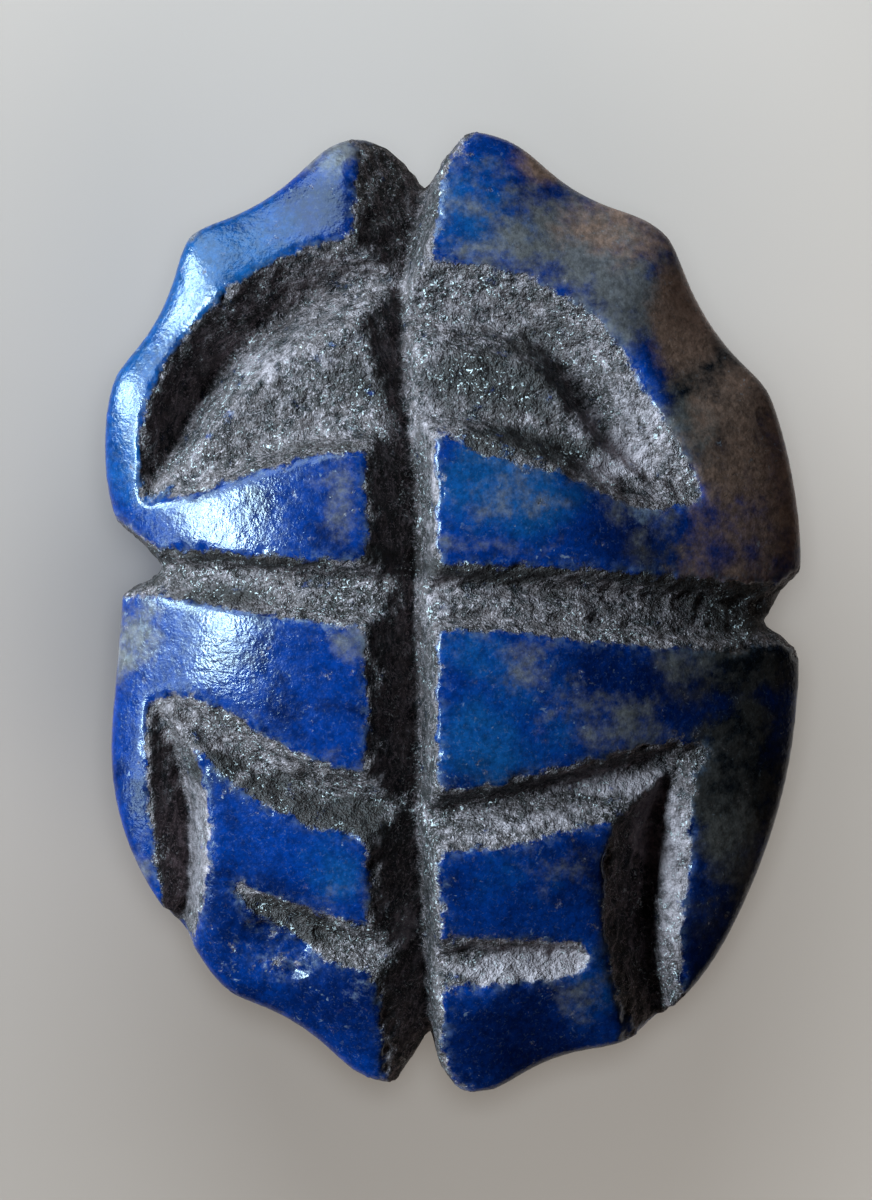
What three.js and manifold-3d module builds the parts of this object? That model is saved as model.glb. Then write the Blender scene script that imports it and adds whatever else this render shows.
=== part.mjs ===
// Scarab amulet of lapis lazuli, carved from one small stone. It lies on its rounded back, so
// that the beetle's underside, where wheel-cut grooves mark off the folded legs, faces up.
// Millimetres, +Z up. The head points along +Y. The origin is on the surface that the amulet
// lies on, under the middle of its length and width.
import * as THREE from "three";
import { mergeVertices } from "three/addons/utils/BufferGeometryUtils.js";
import Module from "manifold-3d";

const wasm = await Module();
wasm.setup();

// ---------------------------------------------------------------- driving dimensions
const LENGTH = 18.0; // nose to tail
const WIDTH = 13.04; // side to side
const GIRDLE_Z = 4.7; // height of the widest line round the stone
const CROWN = 2.3; // rise of the leg face above the girdle
const SPOT = 0.3; // share of the plan radius that is ground flat under the back

// Exponents of the two profiles: a high first figure flattens the middle, and a low second
// figure makes the shoulder turn down early.
const FACE_CURVE = { middle: 2.1, shoulder: 1.12 };
const BACK_CURVE = { middle: 2.2, shoulder: 1.8 };
const BITE_FROM = 0.6; // share of the radius where the scalloped edge starts to shape the face

const ROUND_STEPS = 144; // facets round the stone
const FACE_RINGS = 9;
const BACK_RINGS = 7;
const STATIONS = 12; // fewest cross-sections along a groove
const OVERSHOOT = 0.3; // a cutter stands this far proud of the skin
const WORN_DEGREES = 1.5; // corners of the outline are rounded over this angle each way

// Corners of the outline seen from above, counter-clockwise from the right side. The edge
// after each corner swells by `bow`, or is filed hollow where bow is negative.
const OUTLINE = [
  { at: [6.52, 0.2], bow: 0.22 }, // right side
  { at: [5.9, 4.22], bow: -0.27 }, // outer tooth of the right foreleg, then a filed hollow
  { at: [4.15, 6.95], bow: 0.04 },
  { at: [3.48, 7.42], bow: -0.2 }, // inner tooth, then the next hollow
  { at: [1.4, 8.66], bow: 0.04 },
  { at: [0.5, 9.0], bow: 0.05 }, // right lobe of the nose
  { at: [-1.75, 8.87], bow: 0.1 }, // left lobe
  { at: [-2.6, 8.5], bow: -0.2 },
  { at: [-4.75, 7.2], bow: 0.06 }, // inner tooth of the left foreleg
  { at: [-5.08, 6.83], bow: -0.23 },
  { at: [-6.32, 4.48], bow: 0.21 }, // outer tooth
  { at: [-6.32, 1.7], bow: 0.0 },
  { at: [-6.18, 0.3], bow: 0.0 }, // left side
  { at: [-6.4, -2.2], bow: 0.37 },
  { at: [-5.2, -5.86], bow: 0.0 }, // a small step where a groove runs out
  { at: [-4.93, -6.12], bow: 0.07 },
  { at: [-4.14, -7.2], bow: -0.2 }, // left corner of the tail
  { at: [-1.95, -8.57], bow: 0.06 },
  { at: [-1.22, -8.82], bow: 0.03 }, // left lobe of the tail
  { at: [0.25, -9.0], bow: 0.03 }, // right lobe
  { at: [0.85, -8.97], bow: -0.2 },
  { at: [3.15, -8.14], bow: 0.25 }, // right corner of the tail
  { at: [5.25, -5.9], bow: 0.31 }, // long round flank
  { at: [6.5, -0.9], bow: 0.02 },
];

// Notches sawn through the edge where the long grooves run out. Points go from lip to lip by
// way of the bottom, and each edge bows as in OUTLINE.
const NOTCHES = {
  nose: [
    { at: [-1.8, 8.9], bow: -0.2 },
    { at: [-0.53, 7.79], bow: -0.03 },
    { at: [0.34, 9.05], bow: 0 },
  ],
  tail: [
    { at: [0.24, -9.05], bow: -0.15 },
    { at: [-0.38, -7.7], bow: 0 },
    { at: [-1.14, -8.88], bow: 0 },
  ],
  left: [
    { at: [-6.2, 0.36], bow: 0.03 },
    { at: [-5.35, 0.76], bow: 0.08 },
    { at: [-6.42, 1.8], bow: 0 },
  ],
  right: [
    { at: [6.56, 0.74], bow: 0 },
    { at: [6.12, 0.46], bow: -0.08 }, // a ledge of stone left standing in the notch
    { at: [5.7, -0.2], bow: -0.03 },
    { at: [6.56, -0.82], bow: 0 },
  ],
};

// Grooves of the leg face. `line` is the bottom of the cut, seen from above. `left` and
// `right` are the distances to its two edges, for someone going along the line, and `depth`
// is its depth below the face. Each changes evenly along the line through the values given.
const GROOVES = {
  midline: {
    line: [[-0.5, 9.4], [-0.53, 7.8], [-0.92, 6.2], [-0.88, 4.2], [-0.68, 2.2], [-0.68, 0],
      [-0.66, -2.2], [-0.62, -4.4], [-0.5, -6.6], [-0.37, -7.8], [-0.3, -9.4]],
    left: [0.4, 0.28, 0.35, 0.38, 0.38, 0.38, 0.36, 0.33, 0.26, 0.1, 0.1],
    right: [1.4, 1.34, 1.0, 0.85, 0.92, 0.92, 0.93, 1.0, 0.96, 0.92, 0.95],
    depth: [1.2, 1.2, 1.1, 1.05, 1.0, 1.0, 1.0, 1.0, 1.0, 1.05, 1.1],
  },
  waist: {
    line: [[-6.8, 1.05], [-5.35, 0.86], [-3, 0.69], [-0.7, 0.54], [1.5, 0.46], [4, 0.28],
      [5.7, 0.15], [6.9, 0.1]],
    left: [0.3, 0.26, 0.26, 0.28, 0.34, 0.35, 0.37, 0.45],
    right: [0.6, 0.56, 0.83, 0.87, 0.9, 1.0, 0.8, 0.85],
    depth: [0.7, 0.62, 0.62, 0.66, 0.68, 0.66, 0.65, 0.7],
  },
  waistFoot: { // a second pull of the wheel along the foot of the waist
    line: [[-6.8, 0.62], [-5.35, 0.46], [-3, 0.13], [-0.7, -0.04], [1.5, -0.1], [4, -0.28],
      [5.7, -0.32], [6.9, -0.36]],
    left: [0.3, 0.3, 0.42, 0.45, 0.45, 0.45, 0.4, 0.4],
    right: [0.14, 0.13, 0.24, 0.26, 0.31, 0.4, 0.3, 0.35],
    depth: [0.36, 0.36, 0.46, 0.5, 0.5, 0.5, 0.45, 0.45],
  },
  leftForelegRim: {
    line: [[-5.74, 2.1], [-5.35, 2.75], [-5.02, 3.4], [-4.5, 4.25], [-3.8, 5.0], [-3.0, 5.6],
      [-2.1, 6.02], [-0.9, 6.2]],
    left: [0.1, 0.52, 0.8, 0.92, 0.97, 0.98, 0.93, 0.78],
    right: [0.1, 0.4, 0.6, 0.72, 0.78, 0.8, 0.8, 0.75],
    depth: [0.14, 0.75, 1.2, 1.45, 1.47, 1.38, 1.2, 0.98],
  },
  leftForelegBed: {
    line: [[-5.62, 2.1], [-4.7, 2.5], [-3.8, 2.9], [-2.8, 3.25], [-1.8, 3.42], [-0.6, 3.5]],
    left: [0.1, 1.3, 2.3, 2.8, 2.9, 2.9],
    right: [0.08, 0.28, 0.36, 0.4, 0.46, 0.5],
    depth: [0.1, 0.45, 0.6, 0.66, 0.68, 0.68],
  },
  rightForelegRim: {
    line: [[4.66, 2.1], [3.8, 2.5], [3.05, 3.0], [2.5, 3.7], [2.15, 4.35], [1.65, 4.95],
      [0.9, 5.3], [0, 5.48], [-0.9, 5.52]],
    left: [0.1, 0.35, 0.42, 0.45, 0.46, 0.6, 1.0, 1.2, 1.2],
    right: [0.1, 0.85, 1.35, 1.45, 1.3, 1.1, 1.2, 1.32, 1.35],
    depth: [0.12, 0.58, 0.9, 1.04, 1.08, 1.05, 1.0, 0.96, 0.94],
  },
  rightForelegBed: {
    line: [[4.5, 2.05], [3.6, 2.2], [2.8, 2.6], [1.9, 3.1], [1.0, 3.45], [0.1, 3.66],
      [-0.9, 3.7]],
    left: [0.08, 0.35, 0.35, 0.32, 0.3, 0.32, 0.36],
    right: [0.1, 0.9, 1.8, 2.25, 2.5, 2.6, 2.6],
    depth: [0.1, 0.46, 0.6, 0.66, 0.68, 0.68, 0.7],
  },
  leftKnee: {
    line: [[-5.5, -1.6], [-4.6, -2.1], [-3.6, -2.8], [-2.5, -3.3], [-1.5, -3.55],
      [-0.6, -3.62]],
    left: [0.12, 0.42, 0.5, 0.5, 0.54, 0.55],
    right: [0.1, 0.45, 0.6, 0.66, 0.72, 0.7],
    depth: [0.12, 0.46, 0.64, 0.72, 0.74, 0.76],
  },
  leftShin: {
    line: [[-5.62, -1.6], [-5.2, -2.5], [-4.98, -3.5], [-4.95, -4.5], [-4.98, -5.3],
      [-5.15, -6.2], [-5.3, -6.9]],
    left: [0.1, 0.28, 0.4, 0.4, 0.35, 0.3, 0.3],
    right: [0.08, 0.52, 0.65, 0.58, 0.42, 0.3, 0.3],
    depth: [0.12, 0.68, 0.98, 0.98, 0.85, 0.7, 0.6],
  },
  rightKnee: {
    line: [[4.8, -2.55], [3.8, -2.75], [2.6, -3.05], [1.2, -3.4], [-0.6, -3.75]],
    left: [0.12, 0.85, 1.0, 0.95, 0.8],
    right: [0.1, 0.28, 0.23, 0.23, 0.3],
    depth: [0.12, 0.5, 0.66, 0.72, 0.76],
  },
  rightShin: {
    line: [[4.3, -2.75], [3.88, -3.25], [3.68, -3.9], [3.62, -4.7], [3.56, -5.5],
      [3.62, -6.4], [3.78, -7.3], [4.0, -8.6]],
    left: [0.35, 0.65, 0.8, 0.8, 0.74, 0.62, 0.52, 0.4],
    right: [0.05, 0.15, 0.62, 0.82, 0.79, 0.75, 0.72, 0.7],
    depth: [0.3, 0.6, 0.88, 0.95, 0.92, 0.84, 0.7, 0.5],
  },
  leftTail: {
    line: [[-4.25, -5.0], [-3.4, -5.5], [-2.4, -5.95], [-1.5, -6.2], [-0.5, -6.25]],
    left: [0.05, 0.2, 0.3, 0.33, 0.3],
    right: [0.05, 0.35, 0.5, 0.55, 0.45],
    depth: [0.06, 0.38, 0.48, 0.5, 0.5],
  },
  rightTail: {
    line: [[-0.5, -6.36], [0.6, -6.32], [1.6, -6.3], [2.2, -6.32], [2.5, -6.4]],
    left: [0.22, 0.18, 0.14, 0.12, 0.1],
    right: [1.0, 0.88, 0.68, 0.52, 0.35],
    depth: [0.42, 0.42, 0.4, 0.36, 0.25],
  },
};

// Plain lines of the rounded back: base of the wing cases, seam between them, edge of the head.
const BACK_LINE = { left: [0.26], right: [0.26], depth: [0.24] };
const BACK_GROOVES = {
  wingBase: { ...BACK_LINE, line: [[-6.9, 0.55], [-4, 1.05], [0, 1.4], [4, 0.75], [6.9, -0.2]] },
  wingSeam: { ...BACK_LINE, line: [[-0.05, 1.35], [-0.1, -2.5], [-0.2, -6], [-0.37, -9.3]] },
  headEdge: { ...BACK_LINE, line: [[-6.6, 5.9], [-3.2, 5.3], [-0.3, 5.0], [2.8, 5.2], [6.3, 5.6]] },
};

// Flake lost from the left of the tail: a shallow scoop, as the ball that would fill it.
const FLAKE = { centre: [-3.75, -6.5], half: [1.0, 0.55], turn: -0.35, depth: 0.13 };

// ---------------------------------------------------------------- plan and profiles
const vec = ([x, y]) => new THREE.Vector2(x, y);

// Points from corner a towards corner b along a shallow arc, without b itself.
function bowedEdge(a, b, bow, steps = 12) {
  const chord = vec(b).sub(vec(a));
  const outward = new THREE.Vector2(chord.y, -chord.x).normalize();
  return Array.from({ length: steps }, (_, i) => {
    const t = i / steps;
    return vec(a).addScaledVector(chord, t).addScaledVector(outward, 4 * bow * t * (1 - t));
  });
}

const bowedLoop = (corners) =>
  corners.flatMap(({ at, bow }, i) => bowedEdge(at, corners[(i + 1) % corners.length].at, bow));

// Distance from the middle to the outline in every half degree, with the corners worn round.
const RIM_SAMPLES = 720;
const rimTable = (() => {
  const loop = bowedLoop(OUTLINE).map((p) => ({ angle: p.angle(), radius: p.length() }));
  loop.sort((a, b) => a.angle - b.angle);
  const turn = 2 * Math.PI;
  const around = [
    { ...loop.at(-1), angle: loop.at(-1).angle - turn },
    ...loop,
    { ...loop[0], angle: loop[0].angle + turn },
  ];
  let k = 0;
  const sharp = Array.from({ length: RIM_SAMPLES }, (_, i) => {
    const angle = (i / RIM_SAMPLES) * turn;
    while (around[k + 1].angle < angle) k += 1;
    const [a, b] = [around[k], around[k + 1]];
    return THREE.MathUtils.lerp(a.radius, b.radius, (angle - a.angle) / (b.angle - a.angle));
  });
  const reach = Math.round((WORN_DEGREES / 360) * RIM_SAMPLES);
  return sharp.map((_, i) => {
    let sum = 0;
    for (let j = -reach; j <= reach; j += 1) sum += sharp[(i + j + RIM_SAMPLES) % RIM_SAMPLES];
    return sum / (2 * reach + 1);
  });
})();

function rimRadius(angle) {
  const place = THREE.MathUtils.euclideanModulo(angle / (2 * Math.PI), 1) * RIM_SAMPLES;
  const i = Math.floor(place);
  return THREE.MathUtils.lerp(rimTable[i % RIM_SAMPLES], rimTable[(i + 1) % RIM_SAMPLES], place - i);
}

// The plain oval that the scallops were filed into.
function ovalRadius(angle) {
  return 1 / Math.hypot(Math.cos(angle) / (WIDTH / 2), Math.sin(angle) / (LENGTH / 2));
}

// Plan radius at a share of the way out: the plain oval inside, the scalloped edge outside.
function planRadius(angle, share) {
  const bite = THREE.MathUtils.smoothstep(share, BITE_FROM, 1);
  return share * THREE.MathUtils.lerp(ovalRadius(angle), rimRadius(angle), bite);
}

// How far out a point lies, as a share of the outline's radius in its direction.
function shareAt(x, y) {
  const angle = Math.atan2(y, x);
  const radius = Math.hypot(x, y);
  let share = radius / rimRadius(angle);
  for (let i = 0; i < 8; i += 1) share *= radius / Math.max(planRadius(angle, share), 1e-6);
  return Math.min(share, 1);
}

const superRise = (share, { middle, shoulder }) =>
  Math.max(1 - share ** middle, 0) ** (1 / shoulder);
const superShare = (rise, { middle, shoulder }) =>
  Math.max(1 - rise ** shoulder, 0) ** (1 / middle);

const faceHeight = (x, y) => GIRDLE_Z + CROWN * superRise(shareAt(x, y), FACE_CURVE);
const backHeight = (x, y) => {
  const share = Math.max((shareAt(x, y) - SPOT) / (1 - SPOT), 0);
  return GIRDLE_Z * (1 - superRise(share, BACK_CURVE));
};

// ---------------------------------------------------------------- solids
function solidOf(geometry) {
  const bare = geometry.clone();
  bare.deleteAttribute("normal");
  bare.deleteAttribute("uv");
  const merged = mergeVertices(bare, 1e-4);
  return new wasm.Manifold(
    new wasm.Mesh({
      numProp: 3,
      vertProperties: merged.attributes.position.array,
      triVerts: new Uint32Array(merged.index.array),
    }),
  );
}

// The uncarved stone: a turned pebble of unit radius, drawn out to the plan in every direction.
function pebble() {
  const back = Array.from({ length: BACK_RINGS }, (_, i) => {
    const rise = Math.cos((i / BACK_RINGS) * (Math.PI / 2));
    const share = SPOT + (1 - SPOT) * superShare(rise, BACK_CURVE);
    return new THREE.Vector2(share, GIRDLE_Z * (1 - rise));
  });
  const face = Array.from({ length: FACE_RINGS + 1 }, (_, i) => {
    const rise = Math.sin((i / FACE_RINGS) * (Math.PI / 2));
    return new THREE.Vector2(superShare(rise, FACE_CURVE), GIRDLE_Z + CROWN * rise);
  });
  const profile = [new THREE.Vector2(0, 0), ...back, ...face];
  profile.at(-1).x = 0;
  const turned = new THREE.LatheGeometry(profile, ROUND_STEPS).rotateX(Math.PI / 2);
  const place = turned.attributes.position;
  for (let i = 0; i < place.count; i += 1) {
    const [x, y] = [place.getX(i), place.getY(i)];
    const angle = Math.atan2(y, x);
    const radius = planRadius(angle, Math.hypot(x, y));
    place.setXY(i, radius * Math.cos(angle), radius * Math.sin(angle));
  }
  return solidOf(turned);
}

// A closed solid through a row of sections, each a ring of the same number of points.
function loft(sections) {
  const size = sections[0].length;
  const positions = sections.flat().flatMap((p) => p.toArray());
  const index = [];
  for (let j = 1; j < size - 1; j += 1) {
    const last = size * (sections.length - 1);
    index.push(0, j, j + 1, last, last + j + 1, last + j);
  }
  for (let i = 0; i < sections.length - 1; i += 1) {
    for (let j = 0; j < size; j += 1) {
      const [a, b] = [size * i + j, size * i + ((j + 1) % size)];
      index.push(a, a + size, b, b, a + size, b + size);
    }
  }
  const geometry = new THREE.BufferGeometry();
  geometry.setAttribute("position", new THREE.Float32BufferAttribute(positions, 3));
  geometry.setIndex(index);
  return geometry;
}

// The value at share t of the way along an evenly spaced row of values.
function along(values, t) {
  const place = t * (values.length - 1);
  const i = Math.min(Math.floor(place), values.length - 2);
  return values.length === 1 ? values[0] : THREE.MathUtils.lerp(values[i], values[i + 1], place - i);
}

// What a pull of the cutting wheel takes away. `up` is 1 on the leg face and -1 on the back.
// A section runs from the bottom of the cut up its two walls, on past the skin, and over.
function wheelCut({ line, left, right, depth }, height, up) {
  const route = new THREE.SplineCurve(line.map(vec));
  const count = Math.max(STATIONS, 3 * (line.length - 1));
  const sections = Array.from({ length: count + 1 }, (_, i) => {
    const t = i / count;
    const middle = route.getPoint(t);
    const ahead = route.getTangent(t);
    const aside = new THREE.Vector2(-ahead.y, ahead.x);
    const deep = along(depth, t);
    const skin = height(middle.x, middle.y);
    const bottom = new THREE.Vector3(middle.x, middle.y, skin - up * deep);
    const lip = (reach) => {
      const { x, y } = middle.clone().addScaledVector(aside, reach);
      const edge = new THREE.Vector3(x, y, height(x, y));
      const rise = Math.max(up * (edge.z - bottom.z), deep / 2);
      const proud = edge.clone().sub(bottom).multiplyScalar(OVERSHOOT / rise);
      return edge.add(new THREE.Vector3(proud.x, proud.y, up * OVERSHOOT));
    };
    const over = new THREE.Vector3(middle.x, middle.y, skin + 2 * up * OVERSHOOT);
    const [rightLip, leftLip] = [lip(-along(right, t)), lip(along(left, t))];
    return up > 0 ? [bottom, rightLip, over, leftLip] : [bottom, leftLip, over, rightLip];
  });
  return solidOf(loft(sections));
}

// A notch runs straight down through the edge of the stone. Its mouth is carried outwards,
// clear of the stone.
function notchCut(points) {
  const outside = (at) => vec(at).multiplyScalar(1.15).toArray();
  const mouth = [
    { at: outside(points.at(-1).at), bow: 0 },
    { at: outside(points[0].at), bow: 0 },
  ];
  const tall = GIRDLE_Z + CROWN + 2 * OVERSHOOT;
  const plan = new THREE.Shape(bowedLoop([...points, ...mouth]));
  const prism = new THREE.ExtrudeGeometry(plan, { depth: tall, bevelEnabled: false });
  return solidOf(prism.translate(0, 0, -OVERSHOOT));
}

// The flake scar is the foot of a broad oval ball that just dips into the face.
function flakeCut({ centre, half, turn, depth }) {
  const reach = 0.6; // the scar's own half width, as a share of the ball's
  const ballHeight = depth / (1 - Math.sqrt(1 - reach ** 2));
  const ball = new THREE.SphereGeometry(1, 24, 16)
    .rotateX(Math.PI / 2)
    .scale(half[0] / reach, half[1] / reach, ballHeight)
    .rotateZ(turn)
    .translate(...centre, faceHeight(...centre) - depth + ballHeight);
  return solidOf(ball);
}

// ---------------------------------------------------------------- the amulet
function carvedScarab() {
  const cutters = [
    ...Object.values(GROOVES).map((groove) => wheelCut(groove, faceHeight, 1)),
    ...Object.values(BACK_GROOVES).map((groove) => wheelCut(groove, backHeight, -1)),
    ...Object.values(NOTCHES).map(notchCut),
    flakeCut(FLAKE),
  ];
  const carved = cutters.reduce((stone, cutter) => stone.subtract(cutter), pebble());
  const { vertProperties, triVerts } = carved.getMesh();
  const geometry = new THREE.BufferGeometry();
  geometry.setAttribute("position", new THREE.BufferAttribute(vertProperties, 3));
  geometry.setIndex(new THREE.BufferAttribute(triVerts, 1));
  geometry.computeVertexNormals();
  return geometry;
}

const lapis = new THREE.MeshStandardMaterial({ color: 0x1b3f9e, roughness: 0.35, metalness: 0 });
const scarab = new THREE.Mesh(carvedScarab(), lapis);
scarab.name = "scarab";

const amulet = new THREE.Group();
amulet.add(scarab);
export default amulet;
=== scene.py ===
# %% [markdown]
# # A lapis lazuli scarab, leg side up
# This lesson dresses a small carved stone in Blender. The real object is a beetle amulet about
# 18 mm long, cut from one piece of lapis lazuli. Its polished faces are blue, and the grooves
# that mark off the folded legs are rough, because nobody polished inside them. The plain
# solids come from a CAD frame. We keep their size and place, and add what makes it stone.

import math

import bmesh
import bpy
import numpy as np
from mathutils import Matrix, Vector, noise
from mathutils.bvhtree import BVHTree


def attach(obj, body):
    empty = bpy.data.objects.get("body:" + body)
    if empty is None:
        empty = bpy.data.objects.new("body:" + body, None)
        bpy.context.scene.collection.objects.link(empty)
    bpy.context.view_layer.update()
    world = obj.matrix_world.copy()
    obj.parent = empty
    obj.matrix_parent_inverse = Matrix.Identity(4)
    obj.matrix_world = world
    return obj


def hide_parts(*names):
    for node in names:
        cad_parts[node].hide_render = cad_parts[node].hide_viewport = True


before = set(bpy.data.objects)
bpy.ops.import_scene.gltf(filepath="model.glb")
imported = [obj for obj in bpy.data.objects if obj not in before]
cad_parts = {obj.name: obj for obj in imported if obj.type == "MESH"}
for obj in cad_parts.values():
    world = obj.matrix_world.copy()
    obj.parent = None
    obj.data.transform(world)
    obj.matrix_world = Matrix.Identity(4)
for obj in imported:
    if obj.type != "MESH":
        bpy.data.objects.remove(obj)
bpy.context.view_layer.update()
MM = 0.001  # Blender works in metres, the carver in millimetres
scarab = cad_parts["scarab"]

# %% [markdown]
# ## One even skin for the stone
# The CAD solid is made of long thin triangles. They are fine for measuring, but they can't
# carry small chips and scratches. One could subdivide them, which would only give more thin
# triangles. A voxel remesh lays one even net of small squares over the whole stone instead, as
# a sculptor does before working on detail. Blender's smallest voxel is 0.1 of a unit in a metre
# scene, so a working copy is made in millimetres. Its doubles are merged first.

# %% Working copy in millimetres
VOXEL = 0.06  # mm, about three times finer than the smallest chip that shows


def working_copy(node):
    """The node's mesh as a new object, one unit to the millimetre, with its doubles merged."""
    shape = bmesh.new()
    shape.from_mesh(node.data)
    shape.transform(node.matrix_world)
    bmesh.ops.remove_doubles(shape, verts=shape.verts, dist=1e-7)
    bmesh.ops.scale(shape, vec=Vector((1, 1, 1)) / MM, verts=shape.verts)
    mesh = bpy.data.meshes.new("lapis_scarab")
    shape.to_mesh(mesh)
    shape.free()
    copy = bpy.data.objects.new("lapis_scarab", mesh)
    bpy.context.scene.collection.objects.link(copy)
    return copy


def apply_modifiers(piece):
    """Makes the piece's mesh what its modifiers show, and removes them."""
    evaluated = piece.evaluated_get(bpy.context.evaluated_depsgraph_get())
    made = bpy.data.meshes.new_from_object(evaluated)
    old, piece.data = piece.data, made
    piece.modifiers.clear()
    bpy.data.meshes.remove(old)


stone = working_copy(scarab)
uncut = BVHTree.FromObject(stone, bpy.context.evaluated_depsgraph_get())
remesh = stone.modifiers.new("even_skin", "REMESH")
remesh.mode = "VOXEL"
remesh.voxel_size = VOXEL
apply_modifiers(stone)
print("squares in the skin:", len(stone.data.polygons))

# %% [markdown]
# ## Relax the flats, keep the lips
# The remesh still shows the CAD facets, and real polish has none. A plain smooth would wear
# away the crisp lips of the grooves as well. So each point is pulled towards its neighbours
# only as far as they face the same way: the polish flows over a facet edge, and stops at a lip.
# Points move along their normal alone, so the net keeps its even spacing. Smoothing also
# shrinks a dome a little, so the lost height is smoothed as well and given back.

# %% Points and normals as arrays
def read_points(mesh):
    """The mesh's points as rows of x, y, z in mm."""
    flat = np.empty(len(mesh.vertices) * 3)
    mesh.vertices.foreach_get("co", flat)
    return flat.reshape(-1, 3)


def read_normals(mesh):
    """The direction in which the skin faces at each point."""
    flat = np.empty(len(mesh.vertices) * 3)
    mesh.vertices.foreach_get("normal", flat)
    return flat.reshape(-1, 3)


def write_points(mesh, points):
    """Moves the mesh's points to these rows of x, y, z."""
    mesh.vertices.foreach_set("co", points.ravel())
    mesh.update()


def ease(low, high, value):
    """0 up to low, 1 from high on, and a soft slope between them."""
    t = np.clip((value - low) / (high - low), 0, 1)
    return t * t * (3 - 2 * t)


# %% Relax within each face
FACET_BEND = 5.0  # degrees between neighbours that still belong to one polished face
LIP_BEND = 13.0  # degrees from which an edge is a carved lip
ROUNDS = 90
PULL = 0.7  # share of the way to its neighbours that a point goes in one round


def read_edges(mesh):
    """The two points at the ends of each edge."""
    flat = np.empty(len(mesh.edges) * 2, dtype=np.int32)
    mesh.edges.foreach_get("vertices", flat)
    return flat.reshape(-1, 2)


def pull(values, ends, weight):
    """How far the neighbours draw each value, where weight says how much each edge counts."""
    a, b = ends.T
    count = len(values)
    step = (values[b] - values[a]) * weight
    neighbours = np.bincount(ends.ravel(), minlength=count)
    return PULL * (np.bincount(a, step, count) - np.bincount(b, step, count)) / neighbours


def relax(mesh, rounds):
    """Evens out each polished face, and tells how far each point moved in mm."""
    points, normals, ends = read_points(mesh), read_normals(mesh), read_edges(mesh)
    cosine = np.einsum("ij,ij->i", normals[ends[:, 0]], normals[ends[:, 1]])
    bend = np.degrees(np.arccos(np.clip(cosine, -1, 1)))
    weight = 1 - ease(FACET_BEND, LIP_BEND, bend)
    eased = points.copy()
    for _ in range(rounds):
        drawn = np.stack([pull(eased[:, k], ends, weight) for k in range(3)], axis=1)
        eased += normals * np.einsum("ij,ij->i", drawn, normals)[:, None]
    lost = np.einsum("ij,ij->i", points - eased, normals)
    for _ in range(rounds):
        lost += pull(lost, ends, weight)
    eased += normals * lost[:, None]
    write_points(mesh, eased)
    return np.abs(np.einsum("ij,ij->i", eased - points, normals))


moved = relax(stone.data, ROUNDS)
print("relaxed by up to", round(float(moved.max()), 3), "mm")
print("and usually by", round(float(np.median(moved)), 4), "mm")

# %% [markdown]
# Long wear rounded every edge a little. A few rounds of plain smoothing, with no regard for
# lips, do the same to the mesh.

# %% Wear the edges round
WORN_ROUNDS = 9


def spread(values, ends, rounds):
    """Evens values out between neighbours."""
    values = values.copy()
    ones = np.ones(len(ends))
    for _ in range(rounds):
        values += pull(values, ends, ones)
    return values


edges = read_edges(stone.data)
skin = read_points(stone.data)
worn = np.stack([spread(skin[:, k], edges, WORN_ROUNDS) for k in range(3)], axis=1)
write_points(stone.data, worn)
print("edges worn by up to", round(float(np.linalg.norm(worn - skin, axis=1).max()), 3), "mm")

# %% [markdown]
# ## Where the polish never reached
# Polish reaches what a flat lap can touch. The floor and walls of a groove stay rough, and
# dust collects there. The script finds them as daylight would: from each point, rays go out low
# over the skin in a ring. Where many of them hit stone close by, the point lies in a cut. This
# share is kept on the mesh as an attribute, which displacement and material both read.

# %% Rays over the skin
RING = 12  # directions round each point
LIFTS = (14, 30)  # degrees above the skin
REACH = 1.9  # mm, about the width of the widest groove
START = 0.05  # mm, so that a ray clears the point's own surface
WORK_FROM = 3.0  # mm, below this the stone is the plain back
OPEN, CLOSED = 0.07, 0.2  # blocked share of an open face, and of the ground in a cut


def blocked_share(points, normals, tree):
    """The share of low rays that hit stone within REACH, for each point."""
    share = np.zeros(len(points))
    turns = [2 * math.pi * k / RING for k in range(RING)]
    rays = [
        (math.cos(t) * math.cos(math.radians(e)), math.sin(t) * math.cos(math.radians(e)),
         math.sin(math.radians(e)))
        for t in turns
        for e in LIFTS
    ]
    for i in np.flatnonzero(points[:, 2] > WORK_FROM):
        out = Vector(normals[i])
        side = out.orthogonal().normalized()
        other = out.cross(side)
        start = Vector(points[i]) + out * START
        hits = sum(
            tree.ray_cast(start, side * a + other * b + out * c, REACH)[0] is not None
            for a, b, c in rays
        )
        share[i] = hits / len(rays)
    return share


blocked = blocked_share(read_points(stone.data), read_normals(stone.data), uncut)
print("points in a cut:", int((blocked > CLOSED).sum()), "of", len(blocked))

# %% Groove ground
groove = ease(OPEN, CLOSED, spread(blocked, edges, 2))
print("groove ground covers", round(float(groove.mean()), 3), "of the skin's points")

# %% [markdown]
# The ridges that stand between two cuts of the forelegs see too much sky to count as a groove,
# yet no polish reached them either. They are listed one by one, as soft ovals in millimetres.

# %% Rough patches
ROUGH_PATCHES = [
    # x, y, half width, half height, degrees turned, strength
    (-2.4, 4.6, 2.2, 1.0, 30, 1.0),  # ridge in the left foreleg bed
    (0.9, 4.9, 1.9, 1.0, -25, 1.0),  # ridge in the right foreleg bed
    (-0.2, 5.2, 0.8, 1.1, 0, 1.0),  # and its root beside the midline
    (1.5, 2.98, 1.9, 0.34, -14, 0.8),  # scuffed lip below that bed
]
LEG_SIDE = (5.0, 5.4)  # mm, heights between which the flank turns into the leg side
FLANK_LEAN = (-0.22, -0.06)  # upward part of the normal: below it the skin faces down


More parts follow.
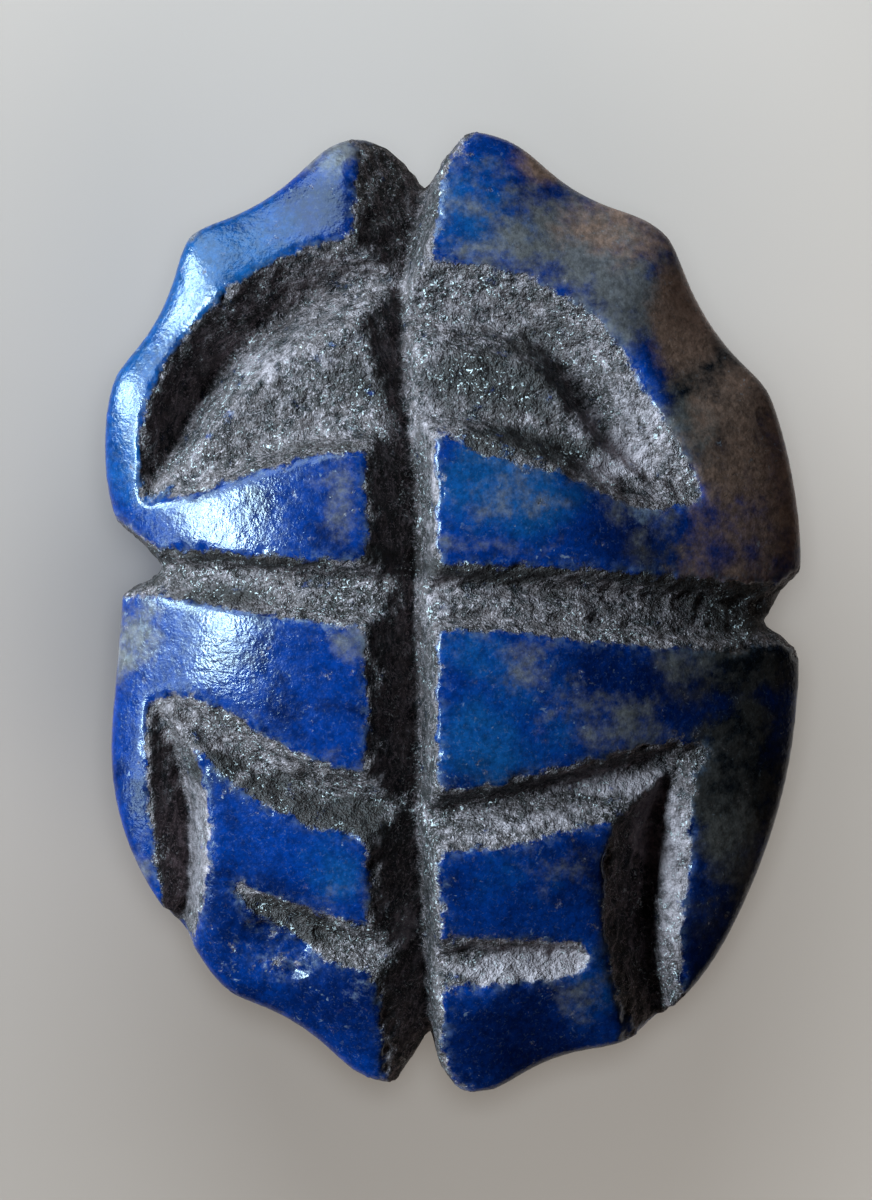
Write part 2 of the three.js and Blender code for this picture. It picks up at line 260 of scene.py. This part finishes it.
def oval_patch(points, x, y, half_wide, half_high, degrees):
    """1 inside a turned oval and 0 outside it, with a soft edge."""
    turn = math.radians(degrees)
    right, up = points[:, 0] - x, points[:, 1] - y
    along = (right * math.cos(turn) + up * math.sin(turn)) / half_wide
    across = (up * math.cos(turn) - right * math.sin(turn)) / half_high
    return 1 - ease(0.75, 1.15, np.hypot(along, across))


skin = read_points(stone.data)
upper = ease(*LEG_SIDE, skin[:, 2])
groove *= ease(*FLANK_LEAN, read_normals(stone.data)[:, 2])  # the flank is plain
for *oval, strength in ROUGH_PATCHES:
    groove = np.maximum(groove, strength * upper * oval_patch(skin, *oval))
print("with the rough patches it covers", round(float(groove.mean()), 3))

# %% [markdown]
# ## Marks of the tools
# Inside the grooves a bow-driven wheel with wet grit left a rough ground, with scratches that
# run along the cut. The lips are worn, and chipped here and there. A Displace modifier moves
# every point by one texture, which is right for one even finish. Here each kind of mark has its
# own place, so the points are moved one by one along their normals with 3-D noise.

# %% Noise in millimetres
def noise_at(point, size, octaves=3):
    """Noise from about -1 to 1 at a point, with its largest lumps `size` mm across."""
    return noise.fractal(Vector(point) / size, 1.0, 2.0, octaves)


def along_cut(point, long=0.8, thin=0.06):
    """Noise in thin level layers, so that on a wall it draws lines along the groove."""
    x, y, z = point
    return noise.noise(Vector((x / long, y / long, z / thin)))


# %% Move the points
HAND_WAVE, WAVE_SIZE = 0.010, 1.4  # mm, depth and length of the waves of hand polishing
GRIT, GRIT_SIZE = 0.052, 0.28  # mm, rough ground in the grooves
STREAK = 0.012  # mm, scratches along the cut
CHIP, CHIP_SIZE = 0.06, 0.4  # mm, chips out of the lips
CHIPPED_FROM = 0.3  # of the lip's sharpness and of the noise, from which a chip is gone
FLUTE = 0.05  # mm, ripples of the broken flake
FLUTE_WIDE, FLUTE_LONG = 0.22, 0.7  # mm
FLAKE = (-3.5, -6.4, 1.5, 0.7, -38)  # its oval: x, y, half width, half height, degrees turned
FLAKE_COS, FLAKE_SIN = 0.82, 0.57  # the flutes run across it, at 35 degrees

lip = spread(groove, edges, 14)
lip = 4 * lip * (1 - lip)  # 1 halfway between polish and ground, 0 well inside either
skin, normals = read_points(stone.data), read_normals(stone.data)
flake = oval_patch(skin, *FLAKE) * upper
shift = np.zeros(len(skin))
for i, point in enumerate(skin):
    shift[i] = HAND_WAVE * noise_at(point, WAVE_SIZE, 1)
    if groove[i] > 0.01:
        shift[i] += groove[i] * (GRIT * noise_at(point, GRIT_SIZE) + STREAK * along_cut(point))
    if lip[i] > CHIPPED_FROM:
        gap = noise_at(point + 7.3, CHIP_SIZE, 2) - CHIPPED_FROM
        if gap > 0:
            sharp = (lip[i] - CHIPPED_FROM) / (1 - CHIPPED_FROM)
            shift[i] -= CHIP * min(gap * 4, 1) * sharp
    if flake[i] > 0:
        x, y, z = point
        across, down = x * FLAKE_COS - y * FLAKE_SIN, x * FLAKE_SIN + y * FLAKE_COS
        fluted = (across / FLUTE_WIDE, down / FLUTE_LONG, z)
        shift[i] += flake[i] * FLUTE * noise_at(fluted, 1.0, 2)
shift *= ease(0.0, 0.5, skin[:, 2])  # the spot that the stone lies on stays flat
skin = skin + normals * shift[:, None]
skin[:, 2] = np.maximum(skin[:, 2], 0)
write_points(stone.data, skin)
steep = 1 - ease(0.3, 0.56, spread(normals[:, 2], edges, 2))  # 1 on the walls near upright
for name, values in (("groove", spread(groove, edges, 9)), ("lip", lip), ("steep", steep)):
    stone.data.attributes.new(name, "FLOAT", "POINT").data.foreach_set("value", values)
print("tool marks from", round(float(shift.min()), 3), "to", round(float(shift.max()), 3), "mm")

# %% [markdown]
# ## Where each colour lies
# Lapis lazuli is not one mineral. Blue lazurite is mixed with white calcite, green-grey
# diopside and, near the rind of the lump, brown iron-stained rock. On this stone the blue
# fades to brown over the right flank. Some clouds paint light and shade as well: a sheen on
# faces that catch a reflection, shade on faces turned from the light, and light and shade in
# the grooves. The zones are laid out as soft clouds in millimetres, stored on the mesh, and the
# material later frays their edges with noise.

# %% Clouds of colour
CLOUDS = {
    # each cloud is (x, y, half width, half height, strength), in mm
    "azure_and_sheen": [  # paler, greener blue, partly a painted sheen where faces catch a broad reflection
        (-4.4, 6.2, 2.3, 1.8, 0.9), (-3.0, 7.0, 0.8, 0.7, 0.3), (0.3, 7.6, 0.9, 1.1, 0.7),
        (1.2, 7.0, 0.9, 0.6, 0.6), (-5.9, 4.0, 1.0, 2.4, 0.7), (0.9, 2.3, 1.6, 1.0, 0.8),
        (0.5, -2.4, 1.3, 0.8, 0.7), (0.6, -0.9, 1.0, 0.6, 0.6), (-2.2, -4.7, 0.7, 0.7, 0.6),
        (1.3, -5.0, 1.2, 0.8, 0.35), (1.3, -1.8, 1.6, 1.2, 0.45), (2.6, -7.0, 1.0, 1.2, 0.4),
    ],
    "navy_and_shade": [  # darkest blue, partly painted shade on faces turned from the light
        (-2.5, 7.5, 0.8, 0.7, 0.6), (-3.6, -5.6, 1.0, 0.9, 0.9), (4.6, -6.6, 0.8, 0.9, 1.0),
        (3.0, 1.4, 0.9, 0.9, 0.8), (2.9, -1.2, 1.0, 1.0, 0.7), (-2.0, -7.4, 1.5, 1.0, 0.8),
        (1.0, -8.0, 1.8, 0.9, 0.9), (3.9, -1.4, 0.9, 1.0, 0.8), (-1.9, -6.9, 0.9, 0.5, 0.5),
    ],
    "diopside_and_sheen": [  # grey-beige matrix, and a painted sheen on two lobes right of the midline
        (-6.0, -0.6, 0.6, 0.8, 0.9), (-5.8, -4.8, 0.35, 0.8, 0.6), (-5.9, 1.2, 0.5, 0.5, 0.5),
        (0.3, 7.8, 0.9, 0.9, 0.55), (1.0, 2.2, 1.3, 0.8, 0.52), (2.2, 6.9, 1.9, 1.1, 1.05),
        (3.3, 5.9, 1.4, 1.1, 1.05), (1.1, 8.0, 0.8, 0.5, 0.5), (1.3, -1.0, 1.0, 0.6, 0.62),
        (3.0, -2.1, 1.3, 0.7, 0.7), (-3.7, -1.4, 0.45, 0.7, 0.35), (0.9, 1.6, 1.2, 0.5, 0.35),
        (-2.1, 2.1, 0.5, 0.9, 0.6), (2.5, -7.1, 0.7, 0.7, 0.5), (5.2, -4.3, 0.7, 1.2, 0.85),
        (4.3, -0.8, 0.8, 0.6, 0.6), (4.4, 3.6, 0.8, 0.9, 0.8), (-2.6, 8.5, 1.2, 0.45, 1.0),
        (-5.2, 7.0, 0.6, 0.3, 0.5), (2.0, -4.8, 0.9, 0.6, 0.45), (-1.9, -3.0, 0.7, 0.4, 0.5),
        (3.4, 1.8, 0.8, 0.6, 0.6), (-1.5, -0.6, 1.3, 0.35, 0.7), (0.5, 1.2, 1.6, 0.25, 0.5),
        (-1.6, -5.2, 1.3, 0.4, 0.5),
    ],
    "rind": [  # brown, iron-stained rock
        (5.7, 2.6, 1.5, 2.6, 0.75), (4.3, 5.6, 0.8, 1.1, 1.0), (3.5, 7.3, 1.6, 0.8, 0.7),
        (1.9, 8.4, 0.9, 0.35, 0.9), (5.3, 0.4, 1.3, 0.9, 0.8),
    ],
    "shade": [  # dark rock of the right flank, darkened further as painted shade
        (5.2, 4.4, 1.3, 2.4, 1.1), (4.3, 6.4, 1.0, 1.0, 0.5), (5.4, -0.6, 1.5, 1.4, 1.0),
        (5.3, -3.0, 1.2, 1.8, 1.0), (5.2, -5.0, 1.0, 1.3, 0.6), (5.9, 2.0, 0.9, 2.4, 0.6),
        (3.9, 1.0, 0.7, 0.8, 0.6),
    ],
    "painted_light_pale": [  # pale ground, mostly painted light where grooves catch the light; shows in the grooves only
        (3.1, 2.9, 0.7, 0.5, 1.1), (3.75, -3.9, 0.25, 1.1, 1.2), (2.9, -3.2, 0.8, 0.3, 1.2),
        (-0.9, -6.0, 0.35, 0.4, 1.0), (2.5, 3.5, 0.4, 0.4, 1.0), (1.6, -6.6, 1.3, 0.5, 1.4),
        (4.1, -4.9, 0.5, 1.9, 0.9), (3.5, 3.7, 0.9, 0.9, 0.6), (-3.5, 4.7, 0.9, 0.45, 0.7),
        (-3.0, 3.3, 1.4, 0.4, 0.4), (-4.7, -4.3, 0.4, 1.5, 0.9), (-0.3, 3.0, 0.4, 3.0, 0.6),
        (1.4, -3.8, 1.6, 0.4, 0.6),
    ],
    "painted_groove_shade": [  # painted shade on groove walls turned from the light, and darker ground; shows in grooves only
        (-4.5, -2.75, 0.5, 0.35, 1.1), (-3.7, -3.35, 0.6, 0.35, 1.1),
        (-2.8, -3.8, 0.6, 0.35, 1.1), (-3.1, -5.75, 0.9, 0.4, 1.1), (-4.4, 0.2, 1.2, 0.3, 0.7),
        (1.5, 0.82, 2.4, 0.22, 1.1), (4.3, 0.62, 1.8, 0.22, 1.1), (-3.2, 1.0, 2.4, 0.2, 1.1),
        (0.8, 4.3, 1.4, 0.7, 0.9), (-2.2, -3.9, 1.4, 0.4, 0.9), (1.5, 3.1, 1.6, 0.35, 1.0),
        (1.6, 5.1, 0.9, 0.5, 0.6), (-1.6, 4.2, 0.8, 0.4, 0.6), (5.2, 0.1, 1.1, 0.6, 0.8),
        (-2.4, 3.0, 1.6, 0.25, 0.5),
    ],
    "calcite": [  # white streaks
        (-6.0, -0.6, 0.45, 0.8, 0.42), (3.5, 1.9, 0.4, 0.3, 0.7), (-2.1, -0.45, 0.7, 0.25, 0.6),
        (-3.3, -6.6, 1.3, 0.6, 0.42), (-1.6, -7.2, 0.5, 0.5, 0.5), (3.2, 7.0, 0.4, 0.3, 0.5),
    ],
}
DRIFT, DRIFT_SIZE = 0.28, 1.6  # mm, how far and over what length the clouds are bent
CORE, FADED = 0.2, 1.7  # in half widths: full up to the first, gone at the second


def lay_clouds(mesh, points):
    """Writes one attribute a colour, 1 in the middle of its clouds and 0 away from them."""
    drift = DRIFT * np.array([
        [noise_at(p, DRIFT_SIZE, 2), noise_at(p + 31.7, DRIFT_SIZE, 2)] for p in points
    ])
    place = points[:, :2] + drift
    for name, clouds in CLOUDS.items():
        value = np.zeros(len(points))
        for x, y, half_wide, half_high, strength in clouds:
            away = np.hypot((place[:, 0] - x) / half_wide, (place[:, 1] - y) / half_high)
            value = np.maximum(value, strength * (1 - ease(CORE, FADED, away)))
        mesh.attributes.new(name, "FLOAT", "POINT").data.foreach_set("value", value)
        print(name, "covers", round(float((value > 0.4).mean()), 3), "of the points")


lay_clouds(stone.data, skin)

# %% [markdown]
# ## Fewer triangles where nothing happens
# The even net spends as many squares on the plain back as on the carved side. The Decimate
# modifier collapses edges where that changes the shape least. A vertex group lets it work hard
# on the back and lightly on the polished leg side, and keeps it out of the grooves.

# %% Thin the net
KEEP_TRIANGLES = 190_000
SHOULDER = (3.6, 4.8)  # mm, heights between which the plain back turns into the carved side
STEPS = 20  # steps of weight, so that each is given to many points at once

calm = stone.vertex_groups.new(name="calm")
weights = np.clip(1 - ease(*SHOULDER, skin[:, 2]) * 0.75 - groove * 0.25, 0.02, 1)
for level in range(1, STEPS + 1):
    chosen = np.flatnonzero(np.round(weights * STEPS) == level)
    calm.add(chosen.tolist(), level / STEPS, "REPLACE")
thin = stone.modifiers.new("thin_net", "DECIMATE")
thin.vertex_group = "calm"
thin.vertex_group_factor = 1.0
thin.ratio = KEEP_TRIANGLES / (2 * len(stone.data.polygons))
apply_modifiers(stone)
stone.vertex_groups.clear()
print("faces after thinning:", len(stone.data.polygons))

# %% [markdown]
# A voxel remesh can leave a bubble: one voxel just under the skin, which it takes for hollow and
# walls off with six faces of its own. Thinning shrinks them to two. Nobody can see them, but a
# stone is one closed skin, and a mesh that is printed or measured should be one too. By hand one
# would find them with Select Linked. The script walks each shell from face to face, and deletes
# the small ones.

# %% Drop the bubbles
SMALLEST_SHELL = 100  # faces, and a shell with fewer is a bubble and not the stone


def find_shells(shape):
    """The faces of a bmesh, as one list for each shell that hangs together."""
    shells = []
    for face in shape.faces:
        face.tag = False
    for first in shape.faces:
        if first.tag:
            continue
        first.tag = True
        shell = [first]
        for face in shell:  # the list grows while it is walked
            for neighbour in (f for edge in face.edges for f in edge.link_faces):
                if not neighbour.tag:
                    neighbour.tag = True
                    shell.append(neighbour)
        shells.append(shell)
    return shells


def drop_bubbles(piece):
    """Deletes every shell with fewer faces than SMALLEST_SHELL."""
    shape = bmesh.new()
    shape.from_mesh(piece.data)
    shells = find_shells(shape)
    bubbles = [face for shell in shells if len(shell) < SMALLEST_SHELL for face in shell]
    bmesh.ops.delete(shape, geom=bubbles, context="FACES")
    shape.to_mesh(piece.data)
    shape.free()
    print("faces in each shell:", sorted(len(shell) for shell in shells), "dropped:", len(bubbles))


drop_bubbles(stone)

# %% [markdown]
# ## The stone's material
# Polished lapis lazuli has an IOR of about 1.5, so it mirrors 4% of the light: the highlights
# are the colour of the lamp, and everything else is the blue below. Old hand polish is never a
# mirror. The highlight spreads over a fine orange peel and hair scratches.

# %% Colours and a node helper
def linear(hex_colour):
    """An sRGB hex colour as the linear RGBA that Blender's sockets hold."""
    parts = [int(hex_colour[k : k + 2], 16) / 255 for k in (1, 3, 5)]
    return tuple(p / 12.92 if p <= 0.04045 else ((p + 0.055) / 1.055) ** 2.4 for p in parts) + (1,)


def add_node(tree, kind, inputs=None, **settings):
    """A new node with these settings. A socket given as an input is linked, a value is set."""
    node = tree.nodes.new(kind)
    for key, value in settings.items():
        setattr(node, key, value)
    for socket, value in (inputs or {}).items():
        if isinstance(value, bpy.types.NodeSocket):
            tree.links.new(value, node.inputs[socket])
        else:
            node.inputs[socket].default_value = value
    return node


# %% Start the material
lapis = bpy.data.materials.new("lapis_lazuli_worn_polish")
lapis.use_nodes = True
tree = lapis.node_tree
tree.nodes.clear()
where = add_node(tree, "ShaderNodeTexCoord").outputs["Object"]
in_mm = add_node(tree, "ShaderNodeMapping", {"Vector": where, "Scale": (1 / MM,) * 3})
in_mm = in_mm.outputs["Vector"]


def grain(size, detail=4.0, roughness=0.55, vector=None, distortion=0.0):
    """Noise with lumps about `size` mm across, from 0 to 1."""
    return add_node(
        tree, "ShaderNodeTexNoise",
        {"Vector": vector or in_mm, "Scale": 1 / size, "Detail": detail, "Roughness": roughness,
         "Distortion": distortion},
    ).outputs["Fac"]


def maths(operation, a, b):
    """One sum on two values or sockets."""
    return add_node(tree, "ShaderNodeMath", {0: a, 1: b}, operation=operation).outputs[0]


def remap(value, low, high, to_low=0.0, to_high=1.0):
    """A soft step from to_low to to_high as the value goes from low to high."""
    return add_node(
        tree, "ShaderNodeMapRange",
        {"Value": value, "From Min": low, "From Max": high, "To Min": to_low, "To Max": to_high},
        interpolation_type="SMOOTHSTEP",
    ).outputs["Result"]


def blend(share, first, second):
    """first where share is 0, second where it is 1. Each is a hex colour or a colour socket."""
    first, second = (linear(c) if isinstance(c, str) else c for c in (first, second))
    return add_node(
        tree, "ShaderNodeMix", {0: share, 6: first, 7: second}, data_type="RGBA"
    ).outputs[2]


def mix(share, first, second):
    """The same for plain values."""
    return add_node(
        tree, "ShaderNodeMix", {0: share, 2: first, 3: second}, data_type="FLOAT"
    ).outputs[0]


def zone(name, edge_grain, fray=0.7, low=0.4, high=0.75):
    """A cloud's attribute broken up by noise, so that its edge is a scatter of small patches."""
    cloud = add_node(tree, "ShaderNodeAttribute", attribute_name=name).outputs["Fac"]
    broken = maths("MULTIPLY", maths("SUBTRACT", grain(edge_grain, 5, 0.68), 0.5), fray * 2)
    return remap(maths("ADD", cloud, broken), low, high)


# %% [markdown]
# Blue stone is painted in layers, as it is built: dark and bright lazurite first, then the zones
# of the other minerals, each let in through its cloud with a frayed edge. Some layers also paint
# light: the azure and diopside a sheen, the navy and the flank painted shade. A single noise could
# make a blue rock of some kind, but not this one, where the eye knows the brown right flank.

# %% Blue of the polished faces
NAVY_AND_SHADE, ULTRAMARINE, AZURE_AND_SHEEN = "#021846", "#022c6e", "#12497c"
DIOPSIDE_AND_SHEEN, RIND, CALCITE = "#746a64", "#926c5b", "#9a9ca2"
SHADE, SHADE_DEEP = "#443d3a", "#14171c"  # dark rock of the right flank, darkened further as painted shade

shade = remap(grain(1.3, 6, 0.62, distortion=0.4), 0.32, 0.54)
blue = blend(shade, NAVY_AND_SHADE, ULTRAMARINE)
flank = blend(remap(grain(0.7, 5, 0.7), 0.4, 0.58), SHADE_DEEP, SHADE)
# The azure and diopside layers also paint a sheen, and the navy and shade layers paint shade.
LAYERS = (
    # cloud, grain of its edge in mm, how far it frays, low and high of its step, strength, colour
    ("azure_and_sheen", 1.0, 0.6, 0.2, 0.9, 0.9, AZURE_AND_SHEEN),
    ("navy_and_shade", 0.9, 0.5, 0.2, 0.9, 0.9, NAVY_AND_SHADE),
    ("shade", 0.7, 0.6, 0.2, 0.9, 1.0, flank),
    ("diopside_and_sheen", 0.55, 1.0, 0.3, 1.05, 0.88, DIOPSIDE_AND_SHEEN),
    ("rind", 0.7, 0.8, 0.2, 0.9, 1.0, RIND),
    ("calcite", 0.25, 1.1, 0.45, 1.1, 0.6, CALCITE),
)
for cloud, size, frays, low, high, strength, layer in LAYERS:
    share = maths("MULTIPLY", zone(cloud, size, frays, low, high), strength)
    blue = blend(share, blue, layer)

# Lazurite grains are about 0.1 mm: each is a little lighter or darker than the next.
crystals = remap(grain(0.15, 3, 0.72), 0.3, 0.7, 0.68, 1.32)
# Calcite specks of 0.05 to 0.1 mm, in loose swarms where the matrix comes up.
specks = remap(grain(0.11, 2, 0.5, distortion=0.6), 0.64, 0.72)
swarm = remap(grain(0.8, 4, 0.6), 0.5, 0.68)
polished = blend(maths("MULTIPLY", maths("MULTIPLY", specks, swarm), 0.55), blue, CALCITE)
# Dust and hair scratches, finer than the grains and everywhere.
dust = remap(grain(0.07, 2, 0.7, distortion=1.2), 0.56, 0.72)
polished = blend(maths("MULTIPLY", dust, 0.1), polished, CALCITE)
print("layers of colour in the blue:", len(LAYERS))

# %% [markdown]
# The wheel tore the ground of the grooves instead of polishing it. Crushed lapis looks grey,
# because light scatters off every broken grain before it reaches the blue, and centuries of
# dirt stained it brown. So the ground has its own colours: grey-brown patches and thin streaks
# along the cut, then painted light where grooves catch the light, pale flecks that partly stand
# in for glints, painted shade on walls the light misses, painted glints of bright crystal faces
# and painted shade on the steep walls, in that order.

# %% Ground of the grooves
GROUND, GROUND_PALE_AND_LIGHT, GROUND_DARK = "#6b5957", "#d4b9bb", "#1f1918"
IRON_STAIN_AND_SHADE, PAINTED_GLINT, PAINTED_WALL_SHADE = "#2f231e", "#f2efec", "#0b0a0a"

thin_layers = add_node(
    tree, "ShaderNodeMapping", {"Vector": in_mm, "Scale": (2.0, 2.0, 12.0)}
).outputs["Vector"]
streaks = grain(1.0, 5, 0.75, vector=thin_layers)
ground = blend(remap(grain(0.35, 5, 0.78), 0.4, 0.58), GROUND_DARK, GROUND)
ground = blend(remap(grain(1.5, 4, 0.6), 0.45, 0.65), ground, IRON_STAIN_AND_SHADE)
ground = blend(maths("MULTIPLY", remap(streaks, 0.48, 0.7), 0.5), ground, GROUND_PALE_AND_LIGHT)
# Short pale hairs and flecks where single crystals were torn out. The flecks also serve as
# painted glints.
flecks_and_glints = remap(grain(0.11, 3, 0.65, distortion=2.4), 0.54, 0.64)
# Painted light: pale ground is let in where the grooves catch the light.
ground = blend(maths("MULTIPLY", zone("painted_light_pale", 0.3, 1.0, 0.3, 1.0), 0.6), ground, GROUND_PALE_AND_LIGHT)
ground = blend(maths("MULTIPLY", flecks_and_glints, 0.65), ground, GROUND_PALE_AND_LIGHT)
# Painted shade: groove walls that the light misses are darkened to a deep brown.
ground = blend(maths("MULTIPLY", zone("painted_groove_shade", 0.3, 0.8, 0.25, 0.75), 0.88), ground, IRON_STAIN_AND_SHADE)
# Painted glints: white dots of about 0.05 mm stand for light caught by broken crystal faces.
painted_glints = maths("MULTIPLY", remap(grain(0.08, 2, 0.4, distortion=1.4), 0.63, 0.68),
                remap(grain(0.9, 3), 0.44, 0.6))
ground = blend(painted_glints, ground, PAINTED_GLINT)
# Painted shade: the steep walls are darkened halfway to black, for the shadow inside the grooves.
steep = add_node(tree, "ShaderNodeAttribute", attribute_name="steep").outputs["Fac"]
ground = blend(maths("MULTIPLY", steep, 0.5), ground, PAINTED_WALL_SHADE)

# %% [markdown]
# Polish and ground are one material, mixed by the groove attribute. Two materials would meet in
# a hard line along the triangles, and here the border is ragged: noise is added to the
# attribute before it is cut off. The same value mixes the roughness and the bump. The bump only
# adds what is finer than the mesh: orange peel on the polish and grit on the ground.

# %% Put both together
SCUFF = "#5c6270"  # dusty blue-grey of a rubbed lip
GROUND_ROUGHNESS = 0.62
PEEL_DEPTH, GRIT_DEPTH = 0.000012, 0.00013  # m

cut = add_node(tree, "ShaderNodeAttribute", attribute_name="groove").outputs["Fac"]
lip = add_node(tree, "ShaderNodeAttribute", attribute_name="lip").outputs["Fac"]
fray = maths("MULTIPLY", maths("SUBTRACT", grain(0.35, 4, 0.74), 0.5), 2.4)
cut = remap(maths("ADD", cut, fray), 0.28, 0.72)
# Worn lips are scuffed: dusty grey lies over the blue in broken patches.
scuff = maths("MULTIPLY", lip, remap(grain(0.22, 4, 0.72), 0.44, 0.62))
polished = blend(maths("MULTIPLY", scuff, 0.55), polished, SCUFF)
colour = blend(cut, polished, ground)
colour = add_node(
    tree, "ShaderNodeVectorMath", {0: colour, "Scale": crystals}, operation="SCALE"
).outputs["Vector"]

gloss = remap(grain(0.4, 4), 0.3, 0.7, 0.13, 0.22)
rough = mix(cut, gloss, GROUND_ROUGHNESS)

peel = maths("ADD", grain(0.17, 3, 0.6), maths("MULTIPLY", grain(0.05, 2, 0.5), 0.3))
relief = mix(cut, peel, grain(0.14, 3, 0.75))
depth = remap(cut, 0.0, 1.0, PEEL_DEPTH, GRIT_DEPTH)
bump = add_node(
    tree, "ShaderNodeBump", {"Height": relief, "Distance": depth, "Strength": 1.0}
).outputs["Normal"]

surface = add_node(
    tree, "ShaderNodeBsdfPrincipled",
    {"Base Color": colour, "Roughness": rough, "Normal": bump, "IOR": 1.5,
     "Specular IOR Level": 0.5},
)
add_node(tree, "ShaderNodeOutputMaterial", {"Surface": surface.outputs["BSDF"]})
stone.data.materials.clear()
stone.data.materials.append(lapis)
print("material nodes:", len(tree.nodes))

# %% [markdown]
# ## Back to metres
# The working copy was in millimetres. Its mesh is scaled, not its object, so the object stays
# unscaled at the origin, and the material's Object coordinates are in metres, as it expects.

# %% Finish the stone
def to_metres(piece):
    """Scales the piece's mesh from millimetres to metres and shades it smooth."""
    shape = bmesh.new()
    shape.from_mesh(piece.data)
    bmesh.ops.scale(shape, vec=Vector((MM, MM, MM)), verts=shape.verts)
    shape.to_mesh(piece.data)
    shape.free()
    for face in piece.data.polygons:
        face.use_smooth = True


to_metres(stone)
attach(stone, "root")
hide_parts("scarab")
print("triangles:", sum(len(f.vertices) - 2 for f in stone.data.polygons))

# %% [markdown]
# ## Board, lights and camera
# The stone lies on a plain pale board. One soft light stands low on the left, as a window does,
# and rakes over the carving: faces that lean towards it shine, and walls that face away go
# black. A wide, weaker one beside it is the sky, and two small ones give the shine on the rim.
# These four reach the stone alone, through light linking, and three others the board alone. So
# the board stays pale without flattening the relief, and its shade can fall off softly.

# %% Board
BOARD_SIDE = 400 * MM
CARD = "#b4b6b6"

shape = bmesh.new()
bmesh.ops.create_grid(shape, x_segments=1, y_segments=1, size=BOARD_SIDE / 2)
board_mesh = bpy.data.meshes.new("board")
shape.to_mesh(board_mesh)
shape.free()
board = bpy.data.objects.new("board", board_mesh)
bpy.context.scene.collection.objects.link(board)

paper = bpy.data.materials.new("pale_matt_card")
paper.use_nodes = True
tree = paper.node_tree
tree.nodes.clear()
surface = add_node(
    tree, "ShaderNodeBsdfPrincipled", {"Base Color": linear(CARD), "Roughness": 0.7}
)
add_node(tree, "ShaderNodeOutputMaterial", {"Surface": surface.outputs["BSDF"]})
board.data.materials.append(paper)
print("board side in mm:", round(BOARD_SIDE / MM))

# %% Lights
AIM_UP = 4 * MM  # the lights are aimed at the middle of the stone, this far above the board
DAYLIGHT = "#c9edff"  # a north window under a blue sky
WARM_WALL = "#ffeedd"


def soft_light(name, azimuth, elevation, distance, size, watts, only, tint="#ffffff"):
    """A rectangular light aimed at the stone, which reaches one object only.

    Azimuth is counted from +X towards +Y and elevation from the board, in degrees. Distance
    and size, which is width and height, are in mm.
    """
    lamp = bpy.data.lights.new(name, "AREA")
    lamp.shape = "RECTANGLE"
    lamp.size, lamp.size_y, lamp.energy = size[0] * MM, size[1] * MM, watts
    lamp.color = linear(tint)[:3]
    light = bpy.data.objects.new(name, lamp)
    a, e = math.radians(azimuth), math.radians(elevation)
    towards = Vector((math.cos(a) * math.cos(e), math.sin(a) * math.cos(e), math.sin(e)))
    light.location = towards * distance * MM + Vector((0, 0, AIM_UP))
    light.rotation_euler = towards.to_track_quat("Z", "Y").to_euler()
    bpy.context.scene.collection.objects.link(light)
    receivers = bpy.data.collections.new(name + "_reaches")
    receivers.objects.link(only)
    light.light_linking.receiver_collection = receivers
    print(name, "reaches the", only.name)


soft_light("window", 172, 39, 250, (90, 45), 0.7, stone, DAYLIGHT)
soft_light("sky", 146, 28, 250, (300, 130), 0.6, stone, DAYLIGHT)
soft_light("head_glint", 160, 18, 250, (80, 60), 0.5, stone, DAYLIGHT)
soft_light("tail_glint", 193, 20, 250, (60, 45), 0.07, stone, DAYLIGHT)
soft_light("overhead", 90, 88, 330, (60, 60), 0.29, board)
soft_light("board_key", 98, 38, 34, (34, 20), 0.0135, board)
soft_light("warm_wall", -72, 36, 55, (40, 30), 0.018, board, WARM_WALL)

# %% The dim room
ROOM_GREY, ROOM_LIGHT = "#c8ccd4", 0.006

world = bpy.data.worlds.new("dim_room")
world.use_nodes = True
world.node_tree.nodes["Background"].inputs["Color"].default_value = linear(ROOM_GREY)
world.node_tree.nodes["Background"].inputs["Strength"].default_value = ROOM_LIGHT
bpy.context.scene.world = world
print("strength of the room's light:", ROOM_LIGHT)

# %% [markdown]
# ## Camera
# The view is straight down on the leg side. A long lens from far above shows the rim without
# leaning it outwards, as a close camera would.

# %% Camera straight above
GIRDLE = 4.7 * MM  # height of the stone's widest line, where its outline is seen
FRAME_HIGH = 22.43 * MM  # what the long side of the image takes in at the girdle
CAMERA_UP = 300 * MM
OFF_CENTRE = (-0.3084 * MM, 0.215 * MM)  # middle of the view, seen from the stone's middle
SENSOR = 36.0  # mm, as Blender counts a sensor

eye = bpy.data.cameras.new("camera")
eye.sensor_width = SENSOR
eye.lens = SENSOR * CAMERA_UP / FRAME_HIGH
eye.clip_start, eye.clip_end = 0.01, 2.0
camera = bpy.data.objects.new("camera", eye)
camera.location = (*OFF_CENTRE, GIRDLE + CAMERA_UP)
bpy.context.scene.collection.objects.link(camera)
bpy.context.scene.camera = camera
bpy.context.scene.view_settings.view_transform = "Standard"
print("lens in mm:", round(eye.lens, 1))
